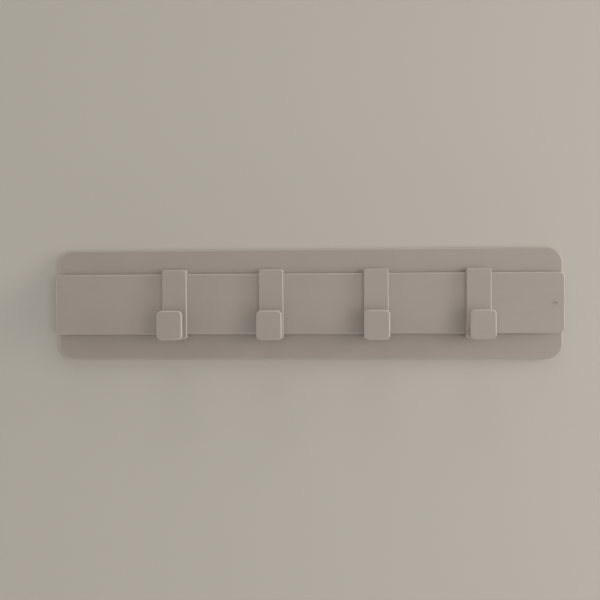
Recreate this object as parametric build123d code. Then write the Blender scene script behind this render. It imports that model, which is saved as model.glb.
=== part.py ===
from build123d import *
import os

# Adhesive hook rack, in millimetres.
# X runs along the rail, +Y points into the wall and +Z is up.
# The origin is on the wall's surface, behind the middle of the back plate.
# A value that ends in "out" is a distance from the wall, towards the room.

# Adhesive pads, which share out the plate's back between them
adhesive_end_margin = 18.0
adhesive_side_margin = 11.6
adhesive_gap = 22.0
adhesive_thickness = 1.0
adhesive_corner_radius = 4.0
adhesive_pocket_depth = 0.4
adhesive_pocket_clearance = 0.3
adhesive_sides = {"left": -1, "centre": 0, "right": 1}

# Back plate
plate_length = 380.0
plate_height = 83.2
plate_thickness = 3.5
plate_corner_radius = 11.5
plate_edge_round = 1.0
plate_back_round = 0.4

# Plinth on the plate, which holds the rail out to make the hooks' channel
channel_depth = 3.04
plinth_end_inset = 3.0
plinth_corner_radius = 3.0

# Rail
rail_end_proud = 0.1
rail_height = 45.2
rail_thickness = 2.8
rail_rise = 0.55
rail_overhang = 7.4
rail_corner_radius = 3.8
rail_edge_round = 0.8
rail_back_round = 0.3

# Ribs that close the channel at the rail's left end
end_rib_width = 3.0
end_rib_inset = 2.0
end_rib_setback = 1.5
end_rib_clearance = 0.3

# Self-tapping screws, driven from behind into bosses on the rail
screw_head_diameter = 5.6
screw_head_height = 1.8
screw_head_round = 0.5
screw_shank_diameter = 2.9
screw_length = 5.8
screw_tip_chamfer = 0.5
screw_cross_length = 3.2
screw_cross_width = 0.7
screw_cross_depth = 1.0
screw_row_share = 0.6
counterbore_depth = 2.2
counterbore_clearance = 0.35
screw_hole_clearance = 0.25
screw_bite_clearance = 0.05
pilot_spare_depth = 0.3
boss_wall = 1.7
boss_height = 2.4
boss_clearance = 0.15

# Stop pin near the rail's right end
pin_head_diameter = 3.0
pin_head_height = 0.55
pin_head_round = 0.2
pin_dimple_diameter = 1.2
pin_dimple_depth = 0.9
pin_shank_diameter = 2.2
pin_inset = 6.1
pin_grip = 2.4
pin_clearance = 0.03
pin_spare_depth = 0.2

# Sliding hooks
hook_width = 18.2
hook_place_shares = (-0.2603, -0.0691, 0.1363, 0.3348)
strap_thickness = 2.75
strap_clearance = 0.25
strap_corner_radius = 2.0
strap_edge_round = 0.75
rail_edge_clearance = 0.3
top_bridge = 2.9
bottom_bridge = 3.4
lip_thickness = 1.9
lip_clearance = 0.3
lip_end_clearance = 1.2
lip_edge_round = 0.4

# Arm and front pad of a hook
hook_reach = 20.1
tip_width = 18.4
tip_height = 21.4
tip_thickness = 3.5
tip_lift = 0.7
tip_corner_radius = 3.3
tip_front_round = 1.1
tip_back_round = 0.8
arm_width = 10.0
arm_height = 4.6
arm_lift = 1.2
arm_root_radius = 5.0
arm_root_bite = 0.15
arm_edge_round = 1.0

# How far a cut runs past the face that it opens, and how deep an arm is let into its neighbours
overrun = 1.5

# The most of a wall's thickness that a rounded edge takes
round_limit_share = 0.45

# Distances from the wall
plate_back_out = adhesive_thickness - adhesive_pocket_depth
plate_front_out = plate_back_out + plate_thickness
rail_back_out = plate_front_out + channel_depth
rail_front_out = rail_back_out + rail_thickness
strap_back_out = rail_front_out + strap_clearance
strap_front_out = strap_back_out + strap_thickness
lip_front_out = rail_back_out - lip_clearance
lip_back_out = lip_front_out - lip_thickness
tip_front_out = strap_front_out + hook_reach
tip_back_out = tip_front_out - tip_thickness

# Lengths that follow the plate
rail_length = plate_length + 2 * rail_end_proud
adhesive_length = (plate_length - 2 * adhesive_end_margin - 2 * adhesive_gap) / len(adhesive_sides)
adhesive_height = plate_height - 2 * adhesive_side_margin

# Heights
rail_top = rail_rise + rail_height / 2
rail_bottom = rail_rise - rail_height / 2
plinth_height = rail_height - 2 * rail_overhang
bridge_top_inside = rail_top + rail_edge_clearance
bridge_bottom_inside = rail_bottom - rail_edge_clearance
hook_top = bridge_top_inside + top_bridge
hook_bottom = bridge_bottom_inside - bottom_bridge
lip_length = rail_overhang + rail_edge_clearance - lip_end_clearance
tip_bottom = hook_bottom + tip_lift
arm_bottom = tip_bottom + arm_lift
arm_top = arm_bottom + arm_height

# Places along the rail
adhesive_pitch = adhesive_length + adhesive_gap
end_column = (plate_length - adhesive_end_margin) / 2
screw_columns = (-end_column, -adhesive_pitch / 2, adhesive_pitch / 2, end_column)
screw_row_step = plinth_height * screw_row_share / 2
screw_rows = (rail_rise - screw_row_step, rail_rise + screw_row_step)
screw_places = [(x, z) for x in screw_columns for z in screw_rows]
screw_seat_out = plate_back_out + counterbore_depth
boss_diameter = screw_shank_diameter + 2 * boss_wall
pin_x = rail_length / 2 - pin_inset


def wall_plane(out, x=0, z=0):
    """A plane parallel to the wall at a distance from it, facing the room."""
    return Plane(origin=(x, -out, z), x_dir=(1, 0, 0), z_dir=(0, -1, 0))


def board(width, height, thickness, corner_radius, out, x=0, z=0):
    """A flat board with rounded corners, whose back is at a distance from the wall."""
    outline = wall_plane(out, x, z) * RectangleRounded(width, height, corner_radius)
    return extrude(outline, thickness)


def peg(diameter, length, out, x, z):
    """A round peg that starts at a distance from the wall and points into the room."""
    return extrude(wall_plane(out, x, z) * Circle(diameter / 2), length)


def room_rim(solid):
    """The edges round the face that is furthest from the wall."""
    return solid.faces().sort_by(Axis.Y)[0].edges()


def wall_rim(solid):
    """The edges round the face that is nearest to the wall."""
    return solid.faces().sort_by(Axis.Y)[-1].edges()


def soft_edge(edges, radius, wall):
    """Rounds edges, by no more than the wall there allows."""
    return fillet(edges, min(radius, wall * round_limit_share))


def make_adhesive_pad(side):
    """One foam tape pad, seated in its shallow pocket and stuck to the wall."""
    return board(
        adhesive_length,
        adhesive_height,
        adhesive_thickness,
        adhesive_corner_radius,
        0,
        side * adhesive_pitch,
    )


def make_adhesive_pocket(side):
    """The shallow pocket in the plate's back that places a foam pad."""
    return board(
        adhesive_length + 2 * adhesive_pocket_clearance,
        adhesive_height + 2 * adhesive_pocket_clearance,
        adhesive_pocket_depth + overrun,
        adhesive_corner_radius + adhesive_pocket_clearance,
        plate_back_out - overrun,
        side * adhesive_pitch,
    )


def make_base_plate():
    """The broad moulded back plate, with the plinth that carries the rail."""
    plate = board(plate_length, plate_height, plate_thickness, plate_corner_radius, plate_back_out)
    plate = soft_edge(room_rim(plate), plate_edge_round, plate_thickness)
    plate = soft_edge(wall_rim(plate), plate_back_round, plate_thickness)
    plate += board(
        plate_length - 2 * plinth_end_inset,
        plinth_height,
        channel_depth,
        plinth_corner_radius,
        plate_front_out,
        z=rail_rise,
    )
    for side in adhesive_sides.values():
        plate -= make_adhesive_pocket(side)
    for x, z in screw_places:
        plate -= make_screw_passage(x, z)
    pin_hole_depth = pin_grip + pin_spare_depth + overrun
    plate -= peg(
        pin_shank_diameter + 2 * pin_clearance,
        pin_hole_depth,
        rail_back_out - pin_grip - pin_spare_depth,
        pin_x,
        rail_rise,
    )
    return plate


def make_screw_passage(x, z):
    """Counterbore, clearance hole and boss socket for one screw, right through the plate."""
    counterbore = peg(
        screw_head_diameter + 2 * counterbore_clearance,
        counterbore_depth + overrun,
        plate_back_out - overrun,
        x,
        z,
    )
    hole = peg(
        screw_shank_diameter + 2 * screw_hole_clearance,
        rail_back_out - plate_back_out,
        plate_back_out,
        x,
        z,
    )
    socket_depth = boss_height + boss_clearance
    socket = peg(
        boss_diameter + 2 * boss_clearance,
        socket_depth + overrun,
        rail_back_out - socket_depth,
        x,
        z,
    )
    return counterbore + hole + socket


def make_end_rib(side):
    """A rib on the rail's back that closes the channel above or below the plinth."""
    inner = plinth_height / 2 + end_rib_clearance
    outer = rail_height / 2 - end_rib_setback
    x = -rail_length / 2 + end_rib_inset + end_rib_width / 2
    z = rail_rise + side * (inner + outer) / 2
    outline = wall_plane(plate_front_out, x, z) * Rectangle(end_rib_width, outer - inner)
    return extrude(outline, channel_depth)


def make_hook_rail():
    """The flat rail, with screw bosses on its back and a closed left end."""
    rail = board(
        rail_length,
        rail_height,
        rail_thickness,
        rail_corner_radius,
        rail_back_out,
        z=rail_rise,
    )
    rail = soft_edge(room_rim(rail), rail_edge_round, rail_thickness)
    rail = soft_edge(wall_rim(rail), rail_back_round, rail_thickness)
    for side in (-1, 1):
        rail += make_end_rib(side)
    for x, z in screw_places:
        rail += peg(boss_diameter, boss_height, rail_back_out - boss_height, x, z)
    pilot_diameter = screw_shank_diameter + 2 * screw_bite_clearance
    pilot_start = rail_back_out - boss_height - overrun
    pilot_end = screw_seat_out + screw_length + pilot_spare_depth
    for x, z in screw_places:
        rail -= peg(pilot_diameter, pilot_end - pilot_start, pilot_start, x, z)
    rail -= peg(
        pin_shank_diameter + 2 * pin_clearance,
        rail_thickness + 2 * overrun,
        rail_back_out - overrun,
        pin_x,
        rail_rise,
    )
    return rail


def make_rail_screw(x, z):
    """One self-tapping screw with a low pan head and a cross recess."""
    head = peg(screw_head_diameter, screw_head_height, screw_seat_out - screw_head_height, x, z)
    head = soft_edge(wall_rim(head), screw_head_round, screw_head_height)
    shank = peg(screw_shank_diameter, screw_length, screw_seat_out, x, z)
    shank = chamfer(room_rim(shank), screw_tip_chamfer)
    screw = head + shank
    recess_plane = wall_plane(screw_seat_out - screw_head_height, x, z)
    for angle in (0, 90):
        slot = recess_plane * Rectangle(screw_cross_length, screw_cross_width, angle)
        screw -= extrude(slot, screw_cross_depth)
    return screw


def make_stop_pin():
    """The pressed-in pin that stops the hooks at the right end, with a dimple in its head."""
    shank_length = pin_grip + rail_thickness
    shank = peg(pin_shank_diameter, shank_length, rail_front_out - shank_length, pin_x, rail_rise)
    head = peg(pin_head_diameter, pin_head_height, rail_front_out, pin_x, rail_rise)
    head = soft_edge(room_rim(head), pin_head_round, pin_head_height)
    dimple = peg(
        pin_dimple_diameter,
        pin_dimple_depth + overrun,
        rail_front_out + pin_head_height - pin_dimple_depth,
        pin_x,
        rail_rise,
    )
    return shank + head - dimple


def make_slider(x):
    """The strap of a hook with the lips that wrap behind the rail's top and bottom edges."""
    depth = strap_front_out - lip_back_out
    slider = board(
        hook_width,
        hook_top - hook_bottom,
        depth,
        strap_corner_radius,
        lip_back_out,
        x,
        (hook_top + hook_bottom) / 2,
    )
    slider = soft_edge(room_rim(slider), strap_edge_round, strap_thickness)
    slider = soft_edge(wall_rim(slider), lip_edge_round, lip_thickness)
    cut_width = hook_width + 2 * overrun
    inside_height = bridge_top_inside - bridge_bottom_inside
    inside_middle = (bridge_top_inside + bridge_bottom_inside) / 2
    rail_space = wall_plane(lip_front_out, x, inside_middle) * Rectangle(cut_width, inside_height)
    slider -= extrude(rail_space, strap_back_out - lip_front_out)
    mouth_start = lip_back_out - overrun
    mouth = wall_plane(mouth_start, x, inside_middle) * Rectangle(
        cut_width, inside_height - 2 * lip_length
    )
    slider -= extrude(mouth, lip_front_out - mouth_start + overrun)
    return slider


def make_arm(x):
    """The arm at the foot of a hook, hollowed on top in one curve from strap to front pad."""
    slot_start = strap_front_out - arm_root_bite
    slot_end = tip_back_out + arm_root_bite
    start = strap_front_out - overrun
    end = tip_back_out + overrun
    height = arm_height + arm_root_radius
    side_plane = Plane(origin=(x - arm_width / 2, 0, 0), x_dir=(0, -1, 0), z_dir=(-1, 0, 0))
    outline = Pos((start + end) / 2, arm_bottom + height / 2) * Rectangle(end - start, height)
    slot_height = 2 * height
    outline -= Pos((slot_start + slot_end) / 2, arm_top + slot_height / 2) * RectangleRounded(
        slot_end - slot_start, slot_height, arm_root_radius
    )
    arm = extrude(side_plane * outline, -arm_width)
    long_edges = []
    for side in arm.faces().filter_by(Axis.X):
        long_edges += side.edges().filter_by(Axis.Z, reverse=True).sort_by(Axis.Z)[:-2]
    return soft_edge(long_edges, arm_edge_round, arm_height)


def make_tip(x):
    """The rounded square front pad that keeps things on the arm."""
    tip = board(
        tip_width,
        tip_height,
        tip_thickness,
        tip_corner_radius,
        tip_back_out,
        x,
        tip_bottom + tip_height / 2,
    )
    tip = soft_edge(room_rim(tip), tip_front_round, tip_thickness)
    return soft_edge(wall_rim(tip), tip_back_round, tip_thickness)


def make_hook(x):
    """One moulded hook: slider, arm and front pad in one piece."""
    return make_slider(x) + make_arm(x) + make_tip(x)


def save(name, shape):
    """Writes one node's STEP file."""
    export_step(shape, f"parts/{name}.step")


os.makedirs("parts", exist_ok=True)
save("base_plate", make_base_plate())
save("hook_rail", make_hook_rail())
save("rail_screws", Compound(children=[make_rail_screw(x, z) for x, z in screw_places]))
save("stop_pin", make_stop_pin())
for name, side in adhesive_sides.items():
    save(f"adhesive_pad_{name}", make_adhesive_pad(side))
for number, share in enumerate(hook_place_shares, start=1):
    save(f"hook_{number}", make_hook(share * rail_length))
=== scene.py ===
import math

import bpy
from mathutils import Color, Matrix, Vector


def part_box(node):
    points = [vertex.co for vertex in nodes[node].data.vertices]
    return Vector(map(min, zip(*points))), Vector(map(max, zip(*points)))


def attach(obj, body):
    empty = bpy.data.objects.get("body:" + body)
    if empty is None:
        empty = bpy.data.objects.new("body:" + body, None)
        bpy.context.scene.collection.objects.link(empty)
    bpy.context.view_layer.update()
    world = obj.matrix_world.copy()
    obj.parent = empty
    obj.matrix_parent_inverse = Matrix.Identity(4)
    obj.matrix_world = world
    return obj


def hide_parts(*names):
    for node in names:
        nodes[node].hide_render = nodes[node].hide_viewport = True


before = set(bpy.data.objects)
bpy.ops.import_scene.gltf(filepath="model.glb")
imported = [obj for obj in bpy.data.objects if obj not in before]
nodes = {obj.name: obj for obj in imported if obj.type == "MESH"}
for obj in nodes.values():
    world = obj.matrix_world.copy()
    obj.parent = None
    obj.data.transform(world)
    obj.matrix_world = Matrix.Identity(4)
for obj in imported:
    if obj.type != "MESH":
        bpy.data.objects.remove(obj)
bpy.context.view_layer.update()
MM = 0.001

# Back plate
# The broad panel that carries everything, injection moulded in taupe ABS with its plinth.
# Its mould was spark eroded, which leaves a fine even grain on faces and edges alike.
abs_taupe = "#958A81"
abs_ior = 1.54
abs_roughness = 0.56
abs_roughness_spread = 0.05
pigment_cloud = 24 * MM
pigment_detail = 3.0
pigment_raggedness = 0.6
pigment_contrast = 0.022
# The real grain is about 0.2 mm across, too fine to show, so it is drawn two and a half times coarser.
grain_width = 0.5 * MM
grain_detail = 2.0
grain_raggedness = 0.55
grain_depth = 0.06 * MM
# Nearly all of a noise pattern lies between these two values.
noise_low = 0.3
noise_high = 0.7


def linear(hex_colour):
    """An sRGB hex colour as the linear colour that a shader takes."""
    channels = [int(hex_colour[i : i + 2], 16) / 255 for i in (1, 3, 5)]
    return (*Color(channels).from_srgb_to_scene_linear(), 1.0)


def add(tree, kind, inputs=None, **settings):
    """Adds a node, sets its properties and fills its inputs with values or links."""
    node = tree.nodes.new("ShaderNode" + kind)
    for name, value in settings.items():
        setattr(node, name, value)
    for name, value in (inputs or {}).items():
        if isinstance(value, bpy.types.NodeSocket):
            tree.links.new(value, node.inputs[name])
        else:
            node.inputs[name].default_value = value
    return node


def new_material(name):
    """An empty node material, and its tree."""
    material = bpy.data.materials.new(name)
    material.use_nodes = True
    material.node_tree.nodes.clear()
    return material, material.node_tree


def moulded_abs(name, polish=0.0, highlight_and_wear=None):
    """Finely grained taupe ABS with faint pigment clouds, smoothed by a polish, with painted edge
    highlights and wear where given.
    """
    material, tree = new_material(name)
    position = add(tree, "TexCoord")
    clouds = add(
        tree,
        "TexNoise",
        {
            "Vector": position.outputs["Object"],
            "Scale": 1 / pigment_cloud,
            "Detail": pigment_detail,
            "Roughness": pigment_raggedness,
        },
    )
    grain = add(
        tree,
        "TexNoise",
        {
            "Vector": position.outputs["Object"],
            "Scale": 1 / grain_width,
            "Detail": grain_detail,
            "Roughness": grain_raggedness,
        },
    )
    tone = add(
        tree,
        "MapRange",
        {
            "Value": clouds.outputs["Fac"],
            "From Min": noise_low,
            "From Max": noise_high,
            "To Min": 1 - pigment_contrast,
            "To Max": 1 + pigment_contrast,
        },
    )
    roughness = add(
        tree,
        "MapRange",
        {
            "Value": grain.outputs["Fac"],
            "From Min": noise_low,
            "From Max": noise_high,
            "To Min": abs_roughness - abs_roughness_spread - polish,
            "To Max": abs_roughness + abs_roughness_spread - polish,
        },
    )
    # The function passed in may paint a highlight on edges into the tone, as well as add wear to the
    # roughness.
    if highlight_and_wear:
        tone, roughness = highlight_and_wear(tree, position, tone, roughness)
    colour = add(
        tree,
        "VectorMath",
        {0: linear(abs_taupe)[:3], "Scale": tone.outputs[0]},
        operation="SCALE",
    )
    skin = add(tree, "Bump", {"Height": grain.outputs["Fac"], "Distance": grain_depth})
    shader = add(
        tree,
        "BsdfPrincipled",
        {
            "Base Color": colour.outputs[0],
            "Roughness": roughness.outputs[0],
            "Normal": skin.outputs[0],
            "IOR": abs_ior,
        },
    )
    add(tree, "OutputMaterial", {"Surface": shader.outputs[0]})
    return material


nodes["base_plate"].material_slots[0].material = moulded_abs("abs_spark_eroded")

# Rail
# The flat ABS bar that the hooks slide on, held to the plate's plinth by screws from behind.
# Its edges carry a painted highlight and are rubbed a little smooth, and hooks pushed along it leave
# glossier lines.
# The edge paleness is a painted highlight on the rail's rounded edges.
rail_edge_painted_highlight = 0.08
rail_edge_smoothness = 0.2
scuff_length = 60 * MM
scuff_spacing = 1.6 * MM
scuff_detail = 4.0
scuff_start = 0.52
scuff_gloss = 0.1


def edge_highlight_and_polish(tree, position, tone, roughness, painted_highlight, smoothness):
    """Paints a highlight on rounded edges by making them paler, and makes them smoother than the flat
    faces.
    """
    # Where Y is the normal's share away from the wall, 4 Y^2 (1 - Y^2) is 0 on a face that looks out of
    # the wall or along it, and 1 on a slope of 45 degrees between the two.
    facing = add(tree, "SeparateXYZ", {0: position.outputs["Normal"]})
    squared = add(tree, "Math", {0: facing.outputs["Y"], 1: 2.0}, operation="POWER")
    rest = add(tree, "Math", {0: 1.0, 1: squared.outputs[0]}, operation="SUBTRACT")
    product = add(tree, "Math", {0: squared.outputs[0], 1: rest.outputs[0]}, operation="MULTIPLY")
    edge = add(tree, "Math", {0: product.outputs[0], 1: 4.0}, operation="MULTIPLY")
    # The paler tone on the edges is a painted highlight; only the lower roughness is a real change of
    # surface.
    highlighted = add(
        tree,
        "Math",
        {0: edge.outputs[0], 1: painted_highlight, 2: tone.outputs[0]},
        operation="MULTIPLY_ADD",
    )
    smoother = add(
        tree,
        "Math",
        {0: edge.outputs[0], 1: -smoothness, 2: roughness.outputs[0]},
        operation="MULTIPLY_ADD",
    )
    return highlighted, smoother


def rail_edge_highlight_and_scuffs(tree, position, tone, roughness):
    """A painted highlight on smoother edges, and long thin streaks where straps and lips have rubbed the
    grain smooth.
    """
    tone, roughness = edge_highlight_and_polish(
        tree, position, tone, roughness, rail_edge_painted_highlight, rail_edge_smoothness
    )
    stretched = add(
        tree,
        "Mapping",
        {
            "Vector": position.outputs["Object"],
            "Scale": (1 / scuff_length, 1 / scuff_spacing, 1 / scuff_spacing),
        },
    )
    streaks = add(tree, "TexNoise", {"Vector": stretched.outputs[0], "Scale": 1.0, "Detail": scuff_detail})
    rubbed = add(
        tree,
        "MapRange",
        {"Value": streaks.outputs["Fac"], "From Min": scuff_start, "From Max": noise_high},
    )
    glossier = add(
        tree,
        "Math",
        {0: rubbed.outputs[0], 1: -scuff_gloss, 2: roughness.outputs[0]},
        operation="MULTIPLY_ADD",
    )
    return tone, glossier


nodes["hook_rail"].material_slots[0].material = moulded_abs("abs_with_edge_highlights_and_slide_scuffs", highlight_and_wear=rail_edge_highlight_and_scuffs)

# Rail screws
# Eight self-tapping screws that hold the rail from behind, cold headed and zinc plated.
# The plating is a clean cool grey with a soft sheen, a little clouded where it dried.
zinc_grey = "#C3C5C8"
zinc_roughness = 0.34
zinc_roughness_spread = 0.08
zinc_cloud = 1.4 * MM
zinc_detail = 3.0


def zinc_plated_steel():
    """Bright zinc plate on steel: a cool grey metal with small duller clouds."""
    material, tree = new_material("zinc_plated_steel")
    position = add(tree, "TexCoord")
    clouds = add(
        tree,
        "TexNoise",
        {"Vector": position.outputs["Object"], "Scale": 1 / zinc_cloud, "Detail": zinc_detail},
    )
    roughness = add(
        tree,
        "MapRange",
        {
            "Value": clouds.outputs["Fac"],
            "From Min": noise_low,
            "From Max": noise_high,
            "To Min": zinc_roughness - zinc_roughness_spread,
            "To Max": zinc_roughness + zinc_roughness_spread,
        },
    )
    shader = add(
        tree,
        "BsdfPrincipled",
        {"Base Color": linear(zinc_grey), "Metallic": 1.0, "Roughness": roughness.outputs[0]},
    )
    add(tree, "OutputMaterial", {"Surface": shader.outputs[0]})
    return material


nodes["rail_screws"].material_slots[0].material = zinc_plated_steel()

# Hooks
# Four one-piece ABS mouldings, each with a strap that wraps the rail, an arm and a front pad.
# They slide on from the right; their edges carry a painted highlight and are rubbed a little smooth by
# hands and loops.
# The edge paleness is a painted highlight on the hooks' rounded edges.
hook_edge_painted_highlight = 0.05
hook_edge_smoothness = 0.12


def hook_edge_highlight_and_polish(tree, position, tone, roughness):
    """The light rubbing of a hook's rounded edges."""
    # A painted highlight on a hook's rounded edges, which are rubbed a little smoother.
    return edge_highlight_and_polish(tree, position, tone, roughness, hook_edge_painted_highlight, hook_edge_smoothness)


abs_hook = moulded_abs("abs_with_painted_edge_highlights", highlight_and_wear=hook_edge_highlight_and_polish)
hook_names = [name for name in sorted(nodes) if name.startswith("hook_") and name != "hook_rail"]
for name in hook_names:
    nodes[name].material_slots[0].material = abs_hook

# Stop pin
# A small dimpled ABS pin, pressed in near the rail's right end once the hooks are on.
# It comes from a polished mould, so it is smoother than the rail, and its round edge carries a painted
# highlight.
pin_polish = 0.3
# The pale edge is a painted highlight on the pin's head.
pin_edge_painted_highlight = 0.1


def pin_edge_highlight(tree, position, tone, roughness):
    """A painted highlight on the round edge of the pin's head, which is no smoother than the rest of it.
    """
    return edge_highlight_and_polish(tree, position, tone, roughness, pin_edge_painted_highlight, 0.0)


nodes["stop_pin"].material_slots[0].material = moulded_abs("abs_polished", pin_polish, pin_edge_highlight)

# Foam tape pads
# Three die-cut pads of closed-cell polyethylene foam with adhesive on both faces, pressed into
# shallow pockets in the plate's back. Squeezed between plate and wall, their cut edges bulge.
foam_grey = "#C4C4C1"
foam_ior = 1.5
foam_cut_roughness = 0.85
foam_face_roughness = 0.38
foam_cell = 0.45 * MM
foam_cell_depth = 0.05 * MM
foam_pit_strength = 0.6
# Each cell's pit carries painted shade, darkest in its middle and palest at its rim, whose distance is
# given in cell widths.
foam_pit_painted_shade = 0.9
foam_rim_painted_light = 1.04
foam_rim_distance = 0.9
foam_corner = 4.0 * MM
foam_bulge = 0.12 * MM
# The pad's inner face stays this far off the floor of its pocket, so that the two share no plane.
foam_clear = 0.02 * MM
foam_edge_rows = 8
foam_corner_steps = 10
# The signs of X and Z at a rectangle's four corners, one after the other round it.
quarters = ((1, 1), (-1, 1), (-1, -1), (1, -1))


def foam_tape():
    """Pale grey closed-cell foam with painted shade in its pits: matt and finely pitted on the cut edge,
    smoother on the tacky faces.
    """
    material, tree = new_material("closed_cell_foam_tape")
    position = add(tree, "TexCoord")
    cells = add(
        tree,
        "TexVoronoi",
        {"Vector": position.outputs["Object"], "Scale": 1 / foam_cell},
        feature="SMOOTH_F1",
    )
    facing = add(tree, "SeparateXYZ", {0: position.outputs["Normal"]})
    face = add(tree, "Math", {0: facing.outputs["Y"]}, operation="ABSOLUTE")
    roughness = add(
        tree,
        "MapRange",
        {"Value": face.outputs[0], "To Min": foam_cut_roughness, "To Max": foam_face_roughness},
    )
    pits = add(
        tree,
        "Bump",
        {"Height": cells.outputs["Distance"], "Distance": foam_cell_depth, "Strength": foam_pit_strength},
    )
    # Painted shade darkens the middle of each pit, and painted light makes its rim paler.
    shade = add(
        tree,
        "MapRange",
        {
            "Value": cells.outputs["Distance"],
            "From Max": foam_rim_distance,
            "To Min": foam_pit_painted_shade,
            "To Max": foam_rim_painted_light,
        },
    )
    colour = add(
        tree,
        "VectorMath",
        {0: linear(foam_grey)[:3], "Scale": shade.outputs[0]},
        operation="SCALE",
    )
    shader = add(
        tree,
        "BsdfPrincipled",
        {
            "Base Color": colour.outputs[0],
            "Roughness": roughness.outputs[0],
            "Normal": pits.outputs[0],
            "IOR": foam_ior,
        },
    )
    add(tree, "OutputMaterial", {"Surface": shader.outputs[0]})
    return material


def rounded_outline(centre, half_width, half_height, radius, steps):
    """Points round a rectangle with rounded corners, in the wall's plane."""
    points = []
    for quarter, (side_x, side_z) in enumerate(quarters):
        for step in range(steps + 1):
            angle = (quarter + step / steps) * math.pi / 2
            x = centre.x + side_x * (half_width - radius) + radius * math.cos(angle)
            z = centre.z + side_z * (half_height - radius) + radius * math.sin(angle)
            points.append((x, z))
    return points


def new_object(name, data):
    """An object that holds a mesh, a lamp or a camera, put into the scene."""
    thing = bpy.data.objects.new(name, data)
    bpy.context.scene.collection.objects.link(thing)
    return thing


def foam_pad(name, low, high):
    """One pad: flat faces against plate and wall, and a cut edge that bulges between them."""
    centre = (low + high) / 2
    half = (high - low) / 2
    points = []
    for row in range(foam_edge_rows + 1):
        share = row / foam_edge_rows
        y = low.y + foam_clear + share * (high.y - low.y - foam_clear)
        out = foam_bulge * (math.sin(math.pi * share) - 1)
        outline = rounded_outline(centre, half.x + out, half.z + out, foam_corner + out, foam_corner_steps)
        points += [(x, y, z) for x, z in outline]
    count = len(outline)
    last = foam_edge_rows * count
    faces = [tuple(range(count)), tuple(reversed(range(last, last + count)))]
    for first in range(0, last, count):
        for i in range(count):
            j = (i + 1) % count
            faces.append((first + i, first + count + i, first + count + j, first + j))
    mesh = bpy.data.meshes.new(name)
    mesh.from_pydata(points, [], faces)
    mesh.polygons.foreach_set("use_smooth", [len(face) == 4 for face in faces])
    return new_object(name, mesh)


foam = foam_tape()
for place_name in ("left", "centre", "right"):
    node = "adhesive_pad_" + place_name
    pad = foam_pad("foam_tape_" + place_name, *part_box(node))
    pad.data.materials.append(foam)
    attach(pad, "root")
    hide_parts(node)

# Wall
# A smooth plastered wall in matt emulsion paint, rolled on, which leaves a faint stipple.
# It is open behind the plate and clear from its far side, so that views from behind see the rack's back.
wall_paint = "#B3ADA3"
paint_roughness = 0.9
paint_specular = 0.3
roller_stipple = 1.8 * MM
roller_detail = 2.0
roller_depth = 0.06 * MM
wall_half = 0.7
opening_margin = 1 * MM
opening_corner = 10.5 * MM
opening_corner_steps = 12


def emulsion_paint():
    """Matt wall paint with roller stipple, clear to whatever comes through it from behind."""
    material, tree = new_material("matt_emulsion_paint")
    position = add(tree, "TexCoord")
    stipple = add(
        tree,
        "TexNoise",
        {"Vector": position.outputs["Object"], "Scale": 1 / roller_stipple, "Detail": roller_detail},
    )
    bump = add(tree, "Bump", {"Height": stipple.outputs["Fac"], "Distance": roller_depth})
    paint = add(
        tree,
        "BsdfPrincipled",
        {
            "Base Color": linear(wall_paint),
            "Roughness": paint_roughness,
            "Specular IOR Level": paint_specular,
            "Normal": bump.outputs[0],
        },
    )
    clear = add(tree, "BsdfTransparent")
    side = add(tree, "NewGeometry")
    shader = add(
        tree,
        "MixShader",
        {0: side.outputs["Backfacing"], 1: paint.outputs[0], 2: clear.outputs[0]},
    )
    add(tree, "OutputMaterial", {"Surface": shader.outputs[0]})
    return material


def wall_with_opening(low, high):
    """A square wall with a rounded opening just inside a box's outline, as one flat mesh."""
    centre = (low + high) / 2
    half = (high - low) / 2
    corners = [(side_x * wall_half, 0, side_z * wall_half) for side_x, side_z in quarters]
    rim = rounded_outline(
        centre, half.x - opening_margin, half.z - opening_margin, opening_corner, opening_corner_steps
    )
    points = corners + [(x, 0, z) for x, z in rim]
    arc = opening_corner_steps + 1
    faces = []
    for corner in range(len(corners)):
        first = len(corners) + corner * arc
        faces += [(corner, first + i + 1, first + i) for i in range(arc - 1)]
        following = (corner + 1) % len(corners)
        faces.append((corner, following, len(corners) + following * arc, first + arc - 1))
    mesh = bpy.data.meshes.new("wall")
    mesh.from_pydata(points, [], faces)
    return mesh


wall = new_object("wall", wall_with_opening(*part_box("base_plate")))
wall.data.materials.append(emulsion_paint())

# Light
# Soft daylight comes from a tall window on the right, which looks along the wall, and from its reveal.
# The ceiling, a shelf above the rack, the floor and the left wall give a little back, and two weak
# lamps stand behind the camera.
lamps = {
    "window": {"place": (2.6, -0.455, 0.65), "width": 0.39, "height": 1.73, "power": 52.6},
    "window_reveal": {"place": (1.2, -0.45, 0.05), "width": 0.3, "height": 0.8, "power": 3.4},
    "ceiling": {"place": (0.0, -0.83, 3.9), "width": 2.0, "height": 2.0, "power": 48.6},
    "shelf_above": {"place": (0.0, -0.075, 1.2), "width": 2.4, "height": 0.15, "power": 3.3},
    "floor_bounce": {"place": (0.0, -0.075, -1.0), "width": 2.4, "height": 0.15, "power": 7.1},
    "left_wall": {"place": (-1.2, -0.075, 0.0), "width": 0.15, "height": 1.6, "power": 7.6},
    "front": {"place": (0.0, -1.3, 0.0), "width": 0.6, "height": 0.6, "power": 2.7},
    "front_right": {"place": (0.75, -1.06, 0.0), "width": 0.6, "height": 0.6, "power": 3.35},
}
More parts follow.
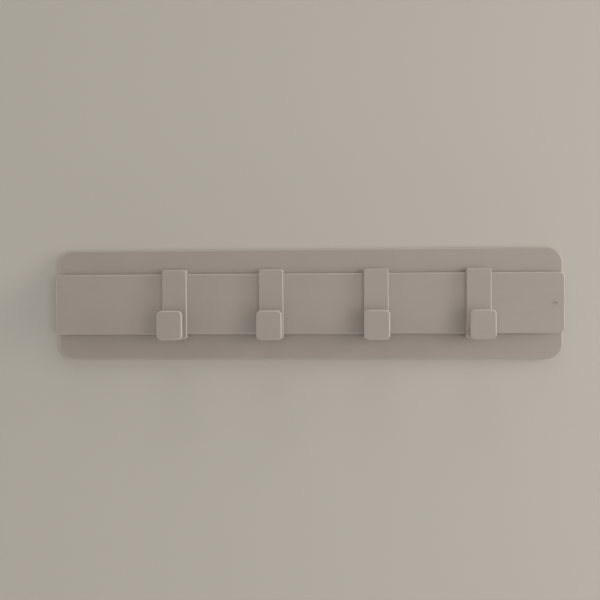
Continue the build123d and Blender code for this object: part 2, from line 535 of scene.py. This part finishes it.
for name, facts in lamps.items():
    data = bpy.data.lights.new(name, "AREA")
    data.shape = "RECTANGLE"
    data.size = facts["width"]
    data.size_y = facts["height"]
    data.energy = facts["power"]
    lamp = new_object(name, data)
    lamp.location = facts["place"]
    lamp.rotation_euler = (-Vector(facts["place"])).to_track_quat("-Z", "Y").to_euler()
    lamp.visible_camera = False

# Room
# The room around the rack gives an even white light of its own. Rays from the camera, and rays that
# are mirrored or pass through something, meet the room's pale colour instead.
room_light = 0.333
room_colour = "#FFFFFF"
room_shown = "#CFCAC2"
world = bpy.data.worlds.new("room")
world.use_nodes = True
room = world.node_tree
room.nodes.clear()
bpy.context.scene.world = world
ray = add(room, "LightPath")
seen = ray.outputs["Is Camera Ray"]
for kind in ("Is Glossy Ray", "Is Transmission Ray"):
    seen = add(room, "Math", {0: seen, 1: ray.outputs[kind]}, operation="MAXIMUM").outputs[0]
lighting = add(room, "Background", {"Color": linear(room_colour), "Strength": room_light})
shown = add(room, "Background", {"Color": linear(room_shown), "Strength": 1.0})
surroundings = add(room, "MixShader", {0: seen, 1: lighting.outputs[0], 2: shown.outputs[0]})
add(room, "OutputWorld", {"Surface": surroundings.outputs[0]})

# Camera
# It stands a little over half a metre from the wall, turned slightly left and tipped slightly down.
# Its place is in metres, and its sensor and lens are in millimetres.
camera_place = (0.02777, -0.63524, 0.01583)
camera_yaw = math.radians(2.985)
camera_pitch = math.radians(-1.143)
camera_roll = math.radians(0.359)
camera_sensor = 36.0
camera_lens = 50.298
camera_data = bpy.data.cameras.new("camera")
camera_data.sensor_width = camera_sensor
camera_data.lens = camera_lens
camera = new_object("camera", camera_data)
camera.matrix_world = (
    Matrix.Translation(camera_place)
    @ Matrix.Rotation(camera_yaw, 4, "Z")
    @ Matrix.Rotation(camera_pitch, 4, "X")
    @ Matrix.Rotation(camera_roll, 4, "Y")
    @ Matrix.Rotation(math.pi / 2, 4, "X")
)
bpy.context.scene.camera = camera
bpy.context.scene.view_settings.view_transform = "Standard"
